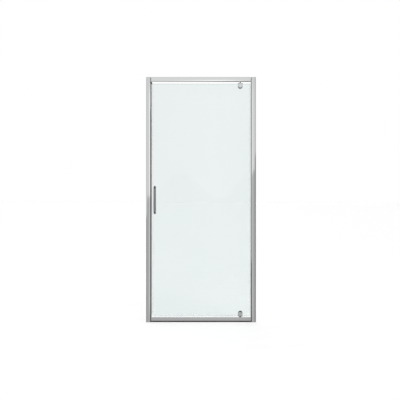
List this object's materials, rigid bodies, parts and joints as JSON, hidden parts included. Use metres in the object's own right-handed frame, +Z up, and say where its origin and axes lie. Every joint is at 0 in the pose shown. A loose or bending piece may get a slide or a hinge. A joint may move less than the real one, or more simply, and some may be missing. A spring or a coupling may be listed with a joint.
{
  "type": "pivot shower door",
  "caption": "Framed shower door whose clear glass leaf turns on inset top and bottom pivots, with a D-shaped pull handle, magnetic strike seal and adjustable wall channels.",
  "frame": {"origin": "at tray level under the middle of the frame's width, in the plane of the closed glass, on the sill seal's underside", "axes": "+X to the right seen from outside the shower (from the handle to the pivots), +Y into the shower, +Z up"},
  "size_m": [0.85, 0.0704, 1.9],
  "materials": {
    "polished_aluminium": "bright polished and anodised",
    "chromed_zinc": "bright chrome plate on cast zinc",
    "chromed_brass": "bright chrome plate on brass",
    "stainless_steel": "plain machined",
    "toughened_glass": "clear float glass with arrised edges",
    "clear_pvc": "clear extruded PVC",
    "grey_pvc": "mid grey extruded PVC",
    "black_nylon": "fine moulded",
    "grey_abs": "silver grey moulded",
    "black_rubber": "extruded EPDM",
    "magnet_rubber": "ferrite filled rubber strip",
    "clear_tpu": "translucent elastomer",
    "white_acetal": "machined and moulded acetal",
    "natural_nylon": "natural nylon"
  },
  "bodies": {
    "frame": {"strike_jamb": "polished_aluminium", "pivot_jamb": "polished_aluminium", "head_rail": "polished_aluminium", "sill_rail": "polished_aluminium", "sill_seal": "black_rubber", "strike_magnet_carrier": "grey_pvc", "strike_magnet": "magnet_rubber", "pivot_jamb_filler": "grey_pvc", "stop_block_top": "black_nylon", "stop_block_sill": "black_nylon", "jamb_caps": "grey_abs", "corner_screws": "stainless_steel", "head_bearing_block": "white_acetal", "head_bearing_bush": "white_acetal", "head_bearing_screws": "stainless_steel", "sill_bearing_block": "white_acetal", "sill_bearing_bush": "white_acetal", "sill_bearing_screws": "stainless_steel", "thrust_washer": "stainless_steel", "adjuster_screws_left": "stainless_steel", "adjuster_screws_right": "stainless_steel"},
    "wall_channel_left_body": {"wall_channel_left": "polished_aluminium", "channel_cap_left": "grey_abs", "adjuster_covers_left": "grey_abs"},
    "wall_channel_right_body": {"wall_channel_right": "polished_aluminium", "channel_cap_right": "grey_abs", "adjuster_covers_right": "grey_abs"},
    "leaf": {"glass_panel": "toughened_glass", "door_magnet_seal": "clear_pvc", "door_magnet": "magnet_rubber", "tail_seal": "clear_pvc", "drip_seal_long": "clear_pvc", "drip_seal_tail": "clear_pvc", "head_clamp_outer": "chromed_zinc", "head_clamp_inner": "chromed_zinc", "head_clamp_gaskets": "clear_tpu", "head_clamp_screws": "stainless_steel", "sill_clamp_outer": "chromed_zinc", "sill_clamp_inner": "chromed_zinc", "sill_clamp_gaskets": "clear_tpu", "sill_clamp_screws": "stainless_steel", "head_pivot_spindle": "chromed_brass", "sill_pivot_spindle": "chromed_brass", "handle_bar": "chromed_brass", "handle_posts": "chromed_brass", "handle_washers": "natural_nylon", "handle_sleeves": "natural_nylon", "handle_inner_caps": "chromed_zinc", "handle_bolts": "stainless_steel"}
  },
  "joints": [
    {"name": "leaf_swing", "type": "hinge", "parent": "frame", "child": "leaf", "pos_m": [0.3045, 0, 0.95], "axis": [0, 0, 1], "range_deg": [0, 95]},
    {"name": "left_channel_adjust", "type": "slide", "parent": "frame", "child": "wall_channel_left_body", "axis": [-1, 0, 0], "range_m": [-0.006, 0.01]},
    {"name": "right_channel_adjust", "type": "slide", "parent": "frame", "child": "wall_channel_right_body", "axis": [1, 0, 0], "range_m": [-0.006, 0.01]}
  ]
}
